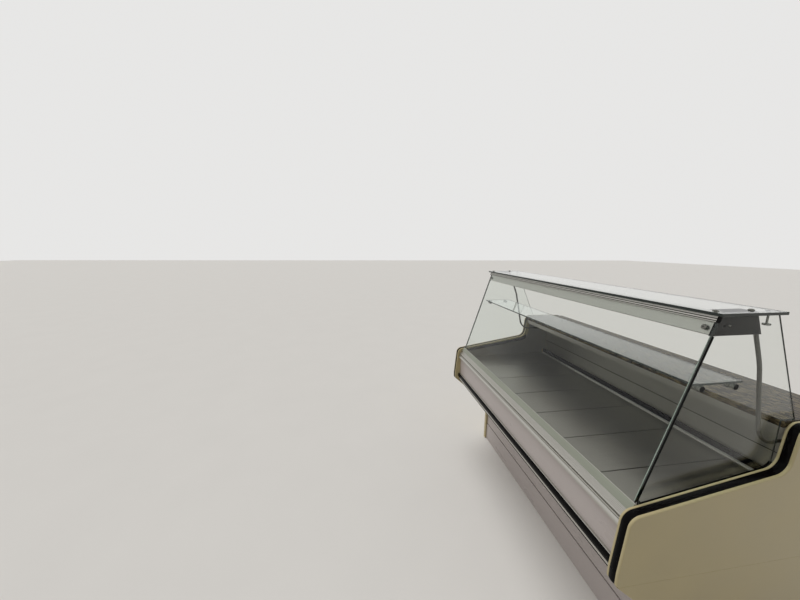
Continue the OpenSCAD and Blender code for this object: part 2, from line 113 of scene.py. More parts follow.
class CounterColours(bpy.types.PropertyGroup):
    cream: colour("Cream", "Moulded end panels and lower sides", "#B6A87F")
    insert: colour("Insert", "Black inserts and bumper", "#060505")
    coated: colour("Coated sheet", "Front panels", "#B9B0AC")
    aluminium: colour("Aluminium", "Anodised profiles", "#BDBBAE")
    steel: colour("Steel", "Pans and inner walls", "#9A9790")
    stone_dark: colour("Stone, dark", "Dark grains of the worktop", "#17110A")
    stone_mid: colour("Stone, middle", "Ground colour of the worktop", "#342B1C")
    stone_light: colour("Stone, light", "Pale grains of the worktop", "#61563E")
    glass: colour("Glass", "Tint of the panes", "#F8FBF9")
    glass_edge: colour("Glass edge", "Edges of the panes", "#081813")
    gasket: colour("Gasket", "Bedding strip of the sloping pane", "#8A8D80")
    silicone: colour("Silicone", "Joint of the end panes", "#A3AFA4")
    bracket: colour("Bracket", "Canopy brackets", "#141211")
    tube: colour("Tube", "Canopy tubes", "#4F4C44")
    plating: colour("Plating", "Bolts and clamps", "#72726C")
    floor: colour("Floor", "Studio floor", "#DEDBD6")


def sizes():
    return bpy.context.scene.counter_sizes


def colours():
    return bpy.context.scene.counter_colours


# Materials


def add_node(tree, kind, settings, inputs):
    """Adds a node, sets its properties, and sets or links its inputs."""
    node = tree.nodes.new(kind)
    for name, value in settings.items():
        setattr(node, name, value)
    for name, value in inputs.items():
        socket = node.inputs[name]
        if isinstance(value, bpy.types.NodeSocket):
            tree.links.new(value, socket)
        else:
            socket.default_value = value
    return node


def new_material(name):
    material = bpy.data.materials.new(name)
    material.use_nodes = True
    tree = material.node_tree
    tree.nodes.clear()
    output = add_node(tree, "ShaderNodeOutputMaterial", {}, {})
    place = add_node(tree, "ShaderNodeTexCoord", {}, {}).outputs["Object"]
    return material, tree, output, place


def rgba(value):
    return (value[0], value[1], value[2], 1.0)


def shade(value, factor):
    return (value[0] * factor, value[1] * factor, value[2] * factor, 1.0)


def moulded_abs():
    """ABS pressed in a mould: satin gloss, a faint orange peel, and hand marks that dull it in patches."""
    material, tree, output, place = new_material("moulded_abs")
    peel = add_node(tree, "ShaderNodeTexNoise", {}, {"Vector": place, "Scale": 233.7, "Detail": 2.0})
    patch = add_node(tree, "ShaderNodeTexNoise", {}, {"Vector": place, "Scale": 7.0, "Detail": 1.0, "Roughness": 0.4})
    tone = add_node(
        tree,
        "ShaderNodeMix",
        {"data_type": "RGBA"},
        {"Factor": patch.outputs["Fac"], "A": shade(colours().cream, 0.93), "B": shade(colours().cream, 1.06)},
    )
    dull = add_node(
        tree,
        "ShaderNodeMapRange",
        {},
        {"Value": patch.outputs["Fac"], "From Min": 0.1, "From Max": 0.9, "To Min": 0.25, "To Max": 0.42},
    )
    bump = add_node(
        tree, "ShaderNodeBump", {}, {"Strength": 0.12, "Distance": 0.0004, "Height": peel.outputs["Fac"]}
    )
    shader = add_node(
        tree,
        "ShaderNodeBsdfPrincipled",
        {},
        {
            "Base Color": tone.outputs["Result"],
            "Roughness": dull.outputs["Result"],
            "IOR": 1.53,
            "Normal": bump.outputs["Normal"],
        },
    )
    tree.links.new(shader.outputs["BSDF"], output.inputs["Surface"])
    return material


def black_pvc():
    """Soft PVC drawn through a die: deep black and glossy, with a haze of dust that breaks the gloss."""
    material, tree, output, place = new_material("black_pvc")
    haze = add_node(tree, "ShaderNodeTexNoise", {}, {"Vector": place, "Scale": 45.0, "Detail": 5.0, "Roughness": 0.65})
    dull = add_node(
        tree,
        "ShaderNodeMapRange",
        {},
        {"Value": haze.outputs["Fac"], "From Min": 0.35, "From Max": 0.75, "To Min": 0.12, "To Max": 0.3},
    )
    tone = add_node(
        tree,
        "ShaderNodeMix",
        {"data_type": "RGBA"},
        {"Factor": haze.outputs["Fac"], "A": rgba(colours().insert), "B": shade(colours().insert, 1.6)},
    )
    bump = add_node(
        tree, "ShaderNodeBump", {}, {"Strength": 0.06, "Distance": 0.0004, "Height": haze.outputs["Fac"]}
    )
    shader = add_node(
        tree,
        "ShaderNodeBsdfPrincipled",
        {},
        {
            "Base Color": tone.outputs["Result"],
            "Roughness": dull.outputs["Result"],
            "Specular IOR Level": 0.05,
            "Normal": bump.outputs["Normal"],
        },
    )
    tree.links.new(shader.outputs["BSDF"], output.inputs["Surface"])
    return material


def coated_sheet():
    """Steel sheet with a baked polyester coat: off-white with a pink cast, satin, and a fine orange peel."""
    material, tree, output, place = new_material("coated_sheet")
    peel = add_node(tree, "ShaderNodeTexNoise", {}, {"Vector": place, "Scale": 420.0, "Detail": 1.0})
    wipe = add_node(
        tree, "ShaderNodeMapping", {}, {"Vector": place, "Scale": (3.0, 9.0, 9.0)}
    )
    smear = add_node(
        tree, "ShaderNodeTexNoise", {}, {"Vector": wipe.outputs["Vector"], "Scale": 1.0, "Detail": 6.0, "Roughness": 0.62}
    )
    tone = add_node(
        tree,
        "ShaderNodeMix",
        {"data_type": "RGBA"},
        {"Factor": smear.outputs["Fac"], "A": shade(colours().coated, 0.92), "B": shade(colours().coated, 1.05)},
    )
    dull = add_node(
        tree,
        "ShaderNodeMapRange",
        {},
        {"Value": smear.outputs["Fac"], "From Min": 0.3, "From Max": 0.7, "To Min": 0.24, "To Max": 0.36},
    )
    bump = add_node(
        tree, "ShaderNodeBump", {}, {"Strength": 0.08, "Distance": 0.0003, "Height": peel.outputs["Fac"]}
    )
    shader = add_node(
        tree,
        "ShaderNodeBsdfPrincipled",
        {},
        {
            "Base Color": tone.outputs["Result"],
            "Roughness": dull.outputs["Result"],
            "IOR": 1.5,
            "Normal": bump.outputs["Normal"],
        },
    )
    tree.links.new(shader.outputs["BSDF"], output.inputs["Surface"])
    return material


def anodised_aluminium():
    """Extruded aluminium, etched and anodised: a pale satin metal with fine die lines along its length."""
    material, tree, output, place = new_material("anodised_aluminium")
    along = add_node(tree, "ShaderNodeMapping", {}, {"Vector": place, "Scale": (4.0, 900.0, 900.0)})
    lines = add_node(
        tree, "ShaderNodeTexNoise", {}, {"Vector": along.outputs["Vector"], "Scale": 1.0, "Detail": 3.0, "Roughness": 0.7}
    )
    tone = add_node(
        tree,
        "ShaderNodeMix",
        {"data_type": "RGBA"},
        {"Factor": lines.outputs["Fac"], "A": shade(colours().aluminium, 0.82), "B": shade(colours().aluminium, 1.08)},
    )
    dull = add_node(
        tree,
        "ShaderNodeMapRange",
        {},
        {"Value": lines.outputs["Fac"], "From Min": 0.3, "From Max": 0.7, "To Min": 0.42, "To Max": 0.54},
    )
    bump = add_node(
        tree, "ShaderNodeBump", {}, {"Strength": 0.15, "Distance": 0.0002, "Height": lines.outputs["Fac"]}
    )
    shader = add_node(
        tree,
        "ShaderNodeBsdfPrincipled",
        {},
        {
            "Base Color": tone.outputs["Result"],
            "Metallic": 1.0,
            "Roughness": dull.outputs["Result"],
            "Normal": bump.outputs["Normal"],
        },
    )
    tree.links.new(shader.outputs["BSDF"], output.inputs["Surface"])
    return material


def brushed_steel():
    """Stainless sheet brushed from front to rear: a dull dark metal with wiped smears. Its brush lines are drawn 5 mm
    wide, far coarser than the real ones, so that they show at all."""
    material, tree, output, place = new_material("brushed_steel")
    across = add_node(tree, "ShaderNodeMapping", {}, {"Vector": place, "Scale": (200.0, 4.0, 200.0)})
    hair = add_node(
        tree, "ShaderNodeTexNoise", {}, {"Vector": across.outputs["Vector"], "Scale": 1.0, "Detail": 3.0, "Roughness": 0.6}
    )
    smear = add_node(tree, "ShaderNodeTexNoise", {}, {"Vector": place, "Scale": 6.0, "Detail": 5.0, "Roughness": 0.6})
    both = add_node(
        tree, "ShaderNodeMix", {"data_type": "FLOAT"}, {"Factor": 0.35, "A": smear.outputs["Fac"], "B": hair.outputs["Fac"]}
    )
    tone = add_node(
        tree,
        "ShaderNodeMix",
        {"data_type": "RGBA"},
        {"Factor": both.outputs["Result"], "A": shade(colours().steel, 0.75), "B": shade(colours().steel, 1.25)},
    )
    dull = add_node(
        tree,
        "ShaderNodeMapRange",
        {},
        {"Value": both.outputs["Result"], "From Min": 0.3, "From Max": 0.7, "To Min": 0.32, "To Max": 0.46},
    )
    shader = add_node(
        tree,
        "ShaderNodeBsdfPrincipled",
        {},
        {"Base Color": tone.outputs["Result"], "Metallic": 1.0, "Roughness": dull.outputs["Result"]},
    )
    tree.links.new(shader.outputs["BSDF"], output.inputs["Surface"])
    return material


def black_moulding():
    """Glass-filled black plastic from a spark-eroded mould: matt, with a fine even grain."""
    material, tree, output, place = new_material("black_moulding")
    grain = add_node(tree, "ShaderNodeTexNoise", {}, {"Vector": place, "Scale": 900.0, "Detail": 2.0})
    tone = add_node(
        tree,
        "ShaderNodeMix",
        {"data_type": "RGBA"},
        {"Factor": grain.outputs["Fac"], "A": shade(colours().insert, 1.0), "B": shade(colours().insert, 2.0)},
    )
    bump = add_node(
        tree, "ShaderNodeBump", {}, {"Strength": 0.3, "Distance": 0.0002, "Height": grain.outputs["Fac"]}
    )
    shader = add_node(
        tree,
        "ShaderNodeBsdfPrincipled",
        {},
        {
            "Base Color": tone.outputs["Result"],
            "Roughness": 0.55,
            "Specular IOR Level": 0.06,
            "Normal": bump.outputs["Normal"],
        },
    )
    tree.links.new(shader.outputs["BSDF"], output.inputs["Surface"])
    return material


def polished_granite():
    """Granite with a grain, sawn and polished: brown ground, pale feldspar and near-black mica in streaks of about
    5 by 16 mm that run along the slab."""
    material, tree, output, place = new_material("polished_granite")
    warp = add_node(tree, "ShaderNodeTexNoise", {}, {"Vector": place, "Scale": 30.0, "Detail": 3.0})
    drift = add_node(
        tree, "ShaderNodeVectorMath", {"operation": "MULTIPLY_ADD"},
        {0: warp.outputs["Color"], 1: (0.012, 0.012, 0.012), 2: place},
    )
    lie = add_node(tree, "ShaderNodeMapping", {}, {"Vector": drift.outputs["Vector"], "Scale": (62.0, 190.0, 190.0)})
    grains = add_node(
        tree, "ShaderNodeTexVoronoi", {}, {"Vector": lie.outputs["Vector"], "Scale": 1.0, "Randomness": 1.0}
    )
    pick = add_node(tree, "ShaderNodeSeparateColor", {}, {"Color": grains.outputs["Color"]})
    cloud = add_node(tree, "ShaderNodeTexNoise", {}, {"Vector": place, "Scale": 22.0, "Detail": 6.0, "Roughness": 0.7})
    mix = add_node(
        tree,
        "ShaderNodeMix",
        {"data_type": "FLOAT"},
        {"Factor": 0.3, "A": pick.outputs["Red"], "B": cloud.outputs["Fac"]},
    )
    ramp = add_node(tree, "ShaderNodeValToRGB", {}, {"Fac": mix.outputs["Result"]})
    stops = ramp.color_ramp.elements
    stops[0].position = 0.26
    stops[0].color = rgba(colours().stone_dark)
    stops[1].position = 0.8
    stops[1].color = rgba(colours().stone_light)
    middle = stops.new(0.42)
    middle.color = rgba(colours().stone_mid)
    late = stops.new(0.6)
    late.color = shade(colours().stone_mid, 1.5)
    shader = add_node(
        tree,
        "ShaderNodeBsdfPrincipled",
        {},
        {"Base Color": ramp.outputs["Color"], "Roughness": 0.26, "Specular IOR Level": 0.14},
    )
    tree.links.new(shader.outputs["BSDF"], output.inputs["Surface"])
    return material


def float_glass():
    """Float glass: clear with a faint green cast, and wiping marks that only dull its gloss a little. Its index is set
    under the real 1.52, so that the pale studio is mirrored in it as weakly as the photographed room is."""
    material, tree, output, place = new_material("float_glass")
    wipe = add_node(tree, "ShaderNodeTexNoise", {}, {"Vector": place, "Scale": 11.0, "Detail": 4.0, "Roughness": 0.6})
    dull = add_node(
        tree,
        "ShaderNodeMapRange",
        {},
        {"Value": wipe.outputs["Fac"], "From Min": 0.45, "From Max": 0.8, "To Min": 0.0, "To Max": 0.05},
    )
    shader = add_node(
        tree,
        "ShaderNodeBsdfPrincipled",
        {},
        {
            "Base Color": rgba(colours().glass),
            "Roughness": dull.outputs["Result"],
            "IOR": 1.22,
            "Transmission Weight": 1.0,
        },
    )
    open_to_lamps = add_node(tree, "ShaderNodeBsdfTransparent", {}, {"Color": rgba(colours().glass)})
    path = add_node(tree, "ShaderNodeLightPath", {}, {})
    surface = add_node(tree, "ShaderNodeMixShader", {}, {"Fac": path.outputs["Is Shadow Ray"]})
    tree.links.new(shader.outputs["BSDF"], surface.inputs[1])
    tree.links.new(open_to_lamps.outputs["BSDF"], surface.inputs[2])
    tree.links.new(surface.outputs["Shader"], output.inputs["Surface"])
    return material


def ground_glass_edge():
    """The ground and polished edge of float glass, where the depth of the pane shows dark green."""
    material, tree, output, place = new_material("ground_glass_edge")
    depth = add_node(tree, "ShaderNodeTexNoise", {}, {"Vector": place, "Scale": 60.0, "Detail": 3.0})
    tone = add_node(
        tree,
        "ShaderNodeMix",
        {"data_type": "RGBA"},
        {"Factor": depth.outputs["Fac"], "A": shade(colours().glass_edge, 0.7), "B": shade(colours().glass_edge, 1.5)},
    )
    shader = add_node(
        tree,
        "ShaderNodeBsdfPrincipled",
        {},
        {"Base Color": tone.outputs["Result"], "Roughness": 0.14, "IOR": 1.52},
    )
    tree.links.new(shader.outputs["BSDF"], output.inputs["Surface"])
    return material


def clear_silicone():
    """The bead of clear silicone that joins an end pane to the sloping pane: pale grey-green, uneven along its run."""
    material, tree, output, place = new_material("clear_silicone")
    depth = add_node(tree, "ShaderNodeTexNoise", {}, {"Vector": place, "Scale": 25.0, "Detail": 3.0})
    tone = add_node(
        tree,
        "ShaderNodeMix",
        {"data_type": "RGBA"},
        {"Factor": depth.outputs["Fac"], "A": shade(colours().silicone, 0.75), "B": shade(colours().silicone, 1.2)},
    )
    shader = add_node(
        tree,
        "ShaderNodeBsdfPrincipled",
        {},
        {"Base Color": tone.outputs["Result"], "Roughness": 0.3, "IOR": 1.41},
    )
    tree.links.new(shader.outputs["BSDF"], output.inputs["Surface"])
    return material


def grey_gasket():
    """The drawn PVC strip that beds the sloping pane: grey-green, dull, a little uneven where it has been wiped."""
    material, tree, output, place = new_material("grey_gasket")
    wipe = add_node(tree, "ShaderNodeMapping", {}, {"Vector": place, "Scale": (5.0, 60.0, 60.0)})
    smear = add_node(tree, "ShaderNodeTexNoise", {}, {"Vector": wipe.outputs["Vector"], "Scale": 1.0, "Detail": 4.0})
    tone = add_node(
        tree,
        "ShaderNodeMix",
        {"data_type": "RGBA"},
        {"Factor": smear.outputs["Fac"], "A": shade(colours().gasket, 0.88), "B": shade(colours().gasket, 1.12)},
    )
    shader = add_node(
        tree,
        "ShaderNodeBsdfPrincipled",
        {},
        {"Base Color": tone.outputs["Result"], "Roughness": 0.45, "IOR": 1.5},
    )
    tree.links.new(shader.outputs["BSDF"], output.inputs["Surface"])
    return material


def powder_coat():
    """Powder-coated sheet steel: dark warm grey, with the soft pebbling that baked powder leaves."""
    material, tree, output, place = new_material("powder_coat")
    pebble = add_node(tree, "ShaderNodeTexNoise", {}, {"Vector": place, "Scale": 700.0, "Detail": 2.0})
    tone = add_node(
        tree,
        "ShaderNodeMix",
        {"data_type": "RGBA"},
        {"Factor": pebble.outputs["Fac"], "A": shade(colours().bracket, 0.85), "B": shade(colours().bracket, 1.15)},
    )
    bump = add_node(
        tree, "ShaderNodeBump", {}, {"Strength": 0.25, "Distance": 0.0003, "Height": pebble.outputs["Fac"]}
    )
    shader = add_node(
        tree,
        "ShaderNodeBsdfPrincipled",
        {},
        {
            "Base Color": tone.outputs["Result"],
            "Roughness": 0.5,
            "Specular IOR Level": 0.1,
            "Normal": bump.outputs["Normal"],
        },
    )
    tree.links.new(shader.outputs["BSDF"], output.inputs["Surface"])
    return material


def grey_enamel():
    """Steel tube sprayed with grey enamel: satin, rubbed a little shinier in places."""
    material, tree, output, place = new_material("grey_enamel")
    rub = add_node(tree, "ShaderNodeTexNoise", {}, {"Vector": place, "Scale": 26.0, "Detail": 4.0})
    tone = add_node(
        tree,
        "ShaderNodeMix",
        {"data_type": "RGBA"},
        {"Factor": rub.outputs["Fac"], "A": shade(colours().tube, 0.88), "B": shade(colours().tube, 1.1)},
    )
    dull = add_node(
        tree,
        "ShaderNodeMapRange",
        {},
        {"Value": rub.outputs["Fac"], "From Min": 0.3, "From Max": 0.7, "To Min": 0.25, "To Max": 0.42},
    )
    shader = add_node(
        tree,
        "ShaderNodeBsdfPrincipled",
        {},
        {"Base Color": tone.outputs["Result"], "Roughness": dull.outputs["Result"], "IOR": 1.5},
    )
    tree.links.new(shader.outputs["BSDF"], output.inputs["Surface"])
    return material


def nickel_plate():
    """Turned steel with bright nickel plating, fine turning marks left under the plate."""
    material, tree, output, place = new_material("nickel_plate")
    marks = add_node(tree, "ShaderNodeTexNoise", {}, {"Vector": place, "Scale": 500.0, "Detail": 2.0})
    tone = add_node(
        tree,
        "ShaderNodeMix",
        {"data_type": "RGBA"},
        {"Factor": marks.outputs["Fac"], "A": shade(colours().plating, 0.85), "B": shade(colours().plating, 1.1)},
    )
    dull = add_node(
        tree,
        "ShaderNodeMapRange",
        {},
        {"Value": marks.outputs["Fac"], "From Min": 0.3, "From Max": 0.7, "To Min": 0.1, "To Max": 0.22},
    )
    shader = add_node(
        tree,
        "ShaderNodeBsdfPrincipled",
        {},
        {"Base Color": tone.outputs["Result"], "Metallic": 1.0, "Roughness": dull.outputs["Result"]},
    )
    tree.links.new(shader.outputs["BSDF"], output.inputs["Surface"])
    return material


def studio_floor():
    """A plain pale floor."""
    material, tree, output, place = new_material("studio_floor")
    mottle = add_node(tree, "ShaderNodeTexNoise", {}, {"Vector": place, "Scale": 3.0, "Detail": 3.0})
    tone = add_node(
        tree,
        "ShaderNodeMix",
        {"data_type": "RGBA"},
        {"Factor": mottle.outputs["Fac"], "A": shade(colours().floor, 0.98), "B": shade(colours().floor, 1.02)},
    )
    shader = add_node(
        tree,
        "ShaderNodeBsdfPrincipled",
        {},
        {"Base Color": tone.outputs["Result"], "Roughness": 0.7, "Specular IOR Level": 0.2},
    )
    tree.links.new(shader.outputs["BSDF"], output.inputs["Surface"])
    return material


FINISHES = {
    "moulded_abs": (moulded_abs, "moulded_shell"),
    "black_pvc": (black_pvc, "black_trim"),
    "coated_sheet": (coated_sheet, "white_panel"),
    "anodised_aluminium": (anodised_aluminium, "anodised_aluminium"),
    "brushed_steel": (brushed_steel, "steel_sheet"),
    "black_moulding": (black_moulding, "black_plastic"),
    "polished_granite": (polished_granite, "granite"),
    "float_glass": (float_glass, "clear_glass"),
    "ground_glass_edge": (ground_glass_edge, "clear_glass"),
    "grey_gasket": (grey_gasket, "anodised_aluminium"),
    "clear_silicone": (clear_silicone, "clear_glass"),
    "powder_coat": (powder_coat, "dark_bracket"),
    "grey_enamel": (grey_enamel, "grey_tube"),
    "nickel_plate": (nickel_plate, "bolt_metal"),
    "studio_floor": (studio_floor, ""),
}


def finish(name):
    return bpy.data.materials.get(name) or FINISHES[name][0]()


# Shapes


def right_of(v):
    return Vector((v.y, -v.x))


def inset(walk, e):
    """The walk moved inwards by e, its corners following."""
    points = [Vector(p[:2]) for p in walk]
    moved = []
    for i, (y, z, r) in enumerate(walk):
        before = (points[1] - points[0]) if i == 0 else (points[i] - points[i - 1])
        after = before if i == len(walk) - 1 else (points[i + 1] - points[i])
        before, after = before.normalized(), after.normalized()
        n1, n2 = right_of(before), right_of(after)
        p = points[i] + e * (n1 + n2) / (1 + n1.dot(n2))
        turn = before.x * after.y - before.y * after.x
        radius = 0.0 if r == 0 else max(r - e if turn < 0 else r + e, 0.6)
        moved.append((p.x, p.y, radius))
    return moved


def rounded(walk, steps=9):
    """The walk as a list of points, its corners drawn as arcs."""
    points = []
    for i, (y, z, r) in enumerate(walk):
        b = Vector((y, z))
        if r == 0:
            points.append(b)
            continue
        a, c = Vector(walk[i - 1][:2]), Vector(walk[i + 1][:2])
        u, v = (a - b).normalized(), (c - b).normalized()
        half = math.acos(max(-1.0, min(1.0, u.dot(v)))) / 2
        centre = b + (u + v).normalized() * r / math.sin(half)
        start = b + u * r / math.tan(half) - centre
        sign = 1 if (b - a).x * (c - b).y - (b - a).y * (c - b).x > 0 else -1
        sweep = (math.pi - 2 * half) * sign
        for k in range(steps + 1):
            g = sweep * k / steps
            points.append(
                centre
                + Vector((start.x * math.cos(g) - start.y * math.sin(g), start.x * math.sin(g) + start.y * math.cos(g)))
            )
    return points


def at_x(points, x):
    """Points of the Y-Z plane, in mm, placed at x."""
    return [Vector((x, p[0], p[1])) * MM for p in points]


def loft(bm, rings):
    """Joins rings of as many points each into a closed skin."""
    loops = []
    for ring in rings:
        verts = [bm.verts.new(p) for p in ring]
        loops.append([bm.edges.new((verts[i], verts[(i + 1) % len(verts)])) for i in range(len(verts))])
    for near, far in zip(loops, loops[1:]):
        bmesh.ops.bridge_loops(bm, edges=near + far)
    for loop in (loops[0], loops[-1]):
        bmesh.ops.edgeloop_fill(bm, edges=loop)


def cut_below(bm, z):
    """Takes away what lies below z and closes the cut."""
    geom = bm.verts[:] + bm.edges[:] + bm.faces[:]
    bmesh.ops.bisect_plane(bm, geom=geom, dist=1e-6, plane_co=(0, 0, z), plane_no=(0, 0, 1), clear_inner=True)
    bmesh.ops.holes_fill(bm, edges=[e for e in bm.edges if e.is_boundary], sides=0)


def prism(bm, outline, x0, x1):
    """A solid with its outline in the Y-Z plane, from x0 to x1, all in mm."""
    face = bm.faces.new([bm.verts.new(p) for p in at_x(outline, x0)])
    grown = bmesh.ops.extrude_face_region(bm, geom=[face])["geom"]
    verts = [g for g in grown if isinstance(g, bmesh.types.BMVert)]
    bmesh.ops.translate(bm, verts=verts, vec=((x1 - x0) * MM, 0, 0))
    return face, verts


def lean_prism(bm, outline, x0, x1):
    """A solid with its outline given on the front glass, as distance behind it and distance up it, from x0 to x1."""
    face = bm.faces.new([bm.verts.new(on_glass(x0, across, up)) for across, up in outline])
    grown = bmesh.ops.extrude_face_region(bm, geom=[face])["geom"]
    verts = [g for g in grown if isinstance(g, bmesh.types.BMVert)]
    bmesh.ops.translate(bm, verts=verts, vec=((x1 - x0) * MM, 0, 0))


def block(bm, low, high):
    """A block from its low corner to its high corner, in mm."""
    low, high = Vector(low) * MM, Vector(high) * MM
    made = bmesh.ops.create_cube(bm, size=1.0)["verts"]
    bmesh.ops.scale(bm, verts=made, vec=high - low)
    bmesh.ops.translate(bm, verts=made, vec=(high + low) / 2)
    return made


def lathe(bm, profile, place, steps=28):
    """A turned piece: its profile is a list of radius and height in mm, closed at the axis."""
    verts = [bm.verts.new((r * MM, 0, h * MM)) for r, h in profile]
    edges = [bm.edges.new(pair) for pair in zip(verts, verts[1:])]
    made = bmesh.ops.spin(
        bm, geom=verts + edges, cent=(0, 0, 0), axis=(0, 0, 1), dvec=(0, 0, 0), angle=2 * math.pi, steps=steps,
        use_merge=True, use_duplicate=False,
    )
    turned = [v for v in bm.verts if v.is_valid and not v.tag]
    bmesh.ops.remove_doubles(bm, verts=turned, dist=1e-6)
    turned = [v for v in bm.verts if not v.tag]
    bmesh.ops.transform(bm, matrix=place, verts=turned)
    for v in turned:
        v.tag = True
    return made


def hexagon_socket(bm, radius, place):
    """Draws the round hole of a bolt head out to a hexagon."""
    back = place.inverted()
    for v in bm.verts:
        p = back @ v.co
        r = math.hypot(p.x, p.y)
        if abs(r - radius * MM) < 2e-5 and p.z > 1e-3:
            a = math.atan2(p.y, p.x) % (math.pi / 3) - math.pi / 6
            grow = math.cos(math.pi / 6) / math.cos(a)
            p.x, p.y = p.x * grow, p.y * grow
            v.co = place @ p


def bevel(bm, edges, width, segments):
    bmesh.ops.bevel(
        bm, geom=edges, offset=width, offset_type="OFFSET", segments=segments, profile=0.5, affect="EDGES",
        clamp_overlap=True, material=-1,
    )


def sharp_edges(bm, degrees=25):
    limit = math.radians(degrees)
    return [e for e in bm.edges if len(e.link_faces) == 2 and e.calc_face_angle(0.0) > limit]


def breadth(face):
    return 2 * face.calc_area() / sum(e.calc_length() for e in face.edges)


def blends(edge):
    """Whether light runs smoothly over an edge: not at a corner, nor where a wide flat face meets a narrow bevel."""
    angle = edge.calc_face_angle(0.0)
    narrow, wide = sorted(breadth(f) for f in edge.link_faces)
    return angle < math.radians(32 if wide < 4 * narrow else 0.5)


def make_piece(bm, name, material, nodes=(), edge_material=None, pane=None, slot=None):
    """Closes a mesh, turns its faces outwards, and gives it its finish and its place on the frame."""
    bmesh.ops.remove_doubles(bm, verts=bm.verts, dist=1e-6)
    bmesh.ops.recalc_face_normals(bm, faces=bm.faces)
    for face in bm.faces:
        face.smooth = True
        if pane is not None:
            face.material_index = 0 if abs(face.normal.dot(pane)) > 0.95 else 1
    for edge in bm.edges:
        edge.smooth = len(edge.link_faces) == 2 and blends(edge)
    mesh = bpy.data.meshes.new(name)
    bm.to_mesh(mesh)
    bm.free()
    piece = bpy.data.objects.new(name, mesh)
    bpy.context.scene.collection.objects.link(piece)
    mesh.materials.append(finish(material))
    if edge_material:
        mesh.materials.append(finish(edge_material))
    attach(piece, "root")
    if nodes:
        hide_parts(*nodes)
    return piece


def merged_copy(node):
    """A CAD node's mesh, merged and with its flat faces whole."""
    bm = bmesh.new()
    bm.from_mesh(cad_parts[node].data)
    bmesh.ops.remove_doubles(bm, verts=bm.verts, dist=5e-6)
    bmesh.ops.dissolve_limit(
        bm, angle_limit=math.radians(0.6), use_dissolve_boundaries=False, verts=bm.verts, edges=bm.edges, delimit=set()
    )
    return bm


def soften(node, name, material, width, segments=2, **dress):
    """A CAD node with its sharp edges rounded."""
    bm = merged_copy(node)
    if width > 0:
        bevel(bm, sharp_edges(bm), width, segments)
    return make_piece(bm, name, material, [node], **dress)


def on_glass(x, across, up):
    """A point in mm given on the front glass: across is the distance behind its front face, up the distance along it."""
    c, s = math.cos(GLASS_TILT), math.sin(GLASS_TILT)
    return Vector((x, GLASS_FOOT[0] + across * c + up * s, GLASS_FOOT[1] - across * s + up * c)) * MM


SIDES = (("left", -1), ("right", 1))


# Operators


class COUNTER_OT_end_panels(bpy.types.Operator):
    """Make the moulded end panels, their lips rounded and a channel run round their edge"""

    bl_idname = "counter.end_panels"
    bl_label = "End panels"

    def execute(self, context):
        outer, inner = sizes().outer_lip_r / MM, sizes().inner_lip_r / MM
        section = []
        for k in range(5):
            a = math.radians(22.5 * k)
            section.append((PANEL_INNER + inner * (1 - math.cos(a)), PANEL_SET_IN + inner * (1 - math.sin(a))))
        section += [
            (670.6, 1.5), (671.6, 1.8), (672.0, 2.6), (672.0, 6.5), (692.0, 6.5), (692.0, 2.6), (692.4, 1.8),
            (693.4, 1.5),
        ]
        for k in range(6):
            a = math.radians(18 * k)
            section.append((700 - outer * (1 - math.sin(a)), PANEL_SET_IN + outer * (1 - math.cos(a))))
        for side, sign in SIDES:
            bm = bmesh.new()
            loft(bm, [at_x(rounded(inset(PANEL_WALK, e)), sign * x) for x, e in section])
            cut_below(bm, BODY_BOTTOM)
            make_piece(bm, f"end_panel_moulding_{side}", "moulded_abs", [f"end_panel_{side}"])
        return {"FINISHED"}


class COUNTER_OT_edge_trims(bpy.types.Operator):
    """Make the black inserts in the edges of the end panels, crowned across their width"""

    bl_idname = "counter.edge_trims"
    bl_label = "Edge inserts"

    def execute(self, context):
        crown = sizes().trim_crown / MM
        section = [(672.4, 6.2), (672.4, 2.4), (672.9, 1.6)]
        for k in range(1, 8):
            x = 672.9 + 18.2 * k / 8
            section.append((x, PANEL_SET_IN * (1 - math.sin(math.pi * k / 8) * crown / 1.5)))
        section += [(691.1, 1.6), (691.6, 2.4), (691.6, 6.2)]
        for side, sign in SIDES:
            bm = bmesh.new()
            loft(bm, [at_x(rounded(inset(PANEL_WALK, e)), sign * x) for x, e in section])
            bmesh.ops.remove_doubles(bm, verts=bm.verts, dist=1e-7)
            hollow_trim(bm, sign)
            make_piece(bm, f"edge_insert_{side}", "black_pvc", [f"edge_trim_{side}"])
        return {"FINISHED"}


def hollow_trim(bm, sign):
    """Opens the middle of the insert's loft, closes its back along the channel's floor, and cuts its ends."""
    caps = [f for f in bm.faces if abs(f.normal.x) > 0.99 and len(f.verts) > 8]
    rims = [list(f.edges) for f in caps]
    bmesh.ops.delete(bm, geom=caps, context="FACES_ONLY")
    bmesh.ops.bridge_loops(bm, edges=rims[0] + rims[1])
    cut_below(bm, BODY_BOTTOM)


